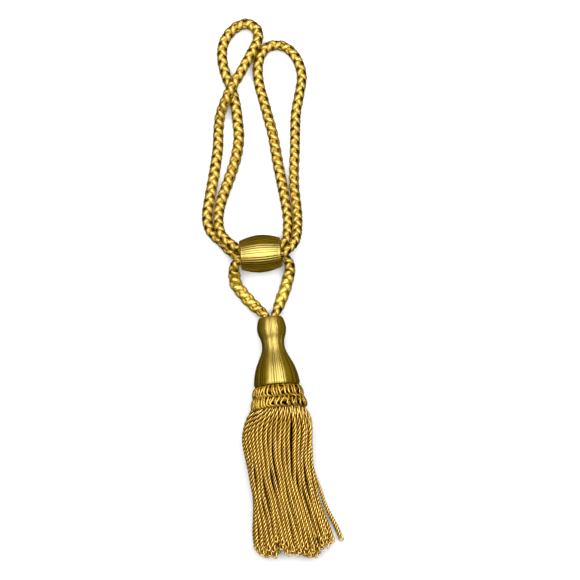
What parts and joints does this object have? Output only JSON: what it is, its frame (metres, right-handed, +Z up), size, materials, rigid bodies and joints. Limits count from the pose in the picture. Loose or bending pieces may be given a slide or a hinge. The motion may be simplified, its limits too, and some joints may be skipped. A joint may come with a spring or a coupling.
{
  "type": "curtain tieback tassel",
  "caption": "Curtain tieback laid flat: a plaited cord in long loops drawn through a wound barrel bead, both ends sewn into a wound head with a looped ruff and a bullion fringe.",
  "frame": {"origin": "middle of the underside of the bead and tassel, on the surface that they lie on", "axes": "+Y along the tassel from its fringe towards the cord's loops, +X across it to the right seen from above, +Z up"},
  "size_m": [0.1403, 0.5368, 0.0559],
  "materials": {
    "cord": "satin gold plaited cord",
    "bead": "wound silky gold thread",
    "head": "wound silky gold thread",
    "ruff": "looped twisted gimp",
    "fringe": "twisted bullion yarn"
  },
  "bodies": {
    "root": {"cord": "cord", "bead": "bead", "head": "head", "ruff": "ruff", "fringe": "fringe"}
  },
  "joints": []
}
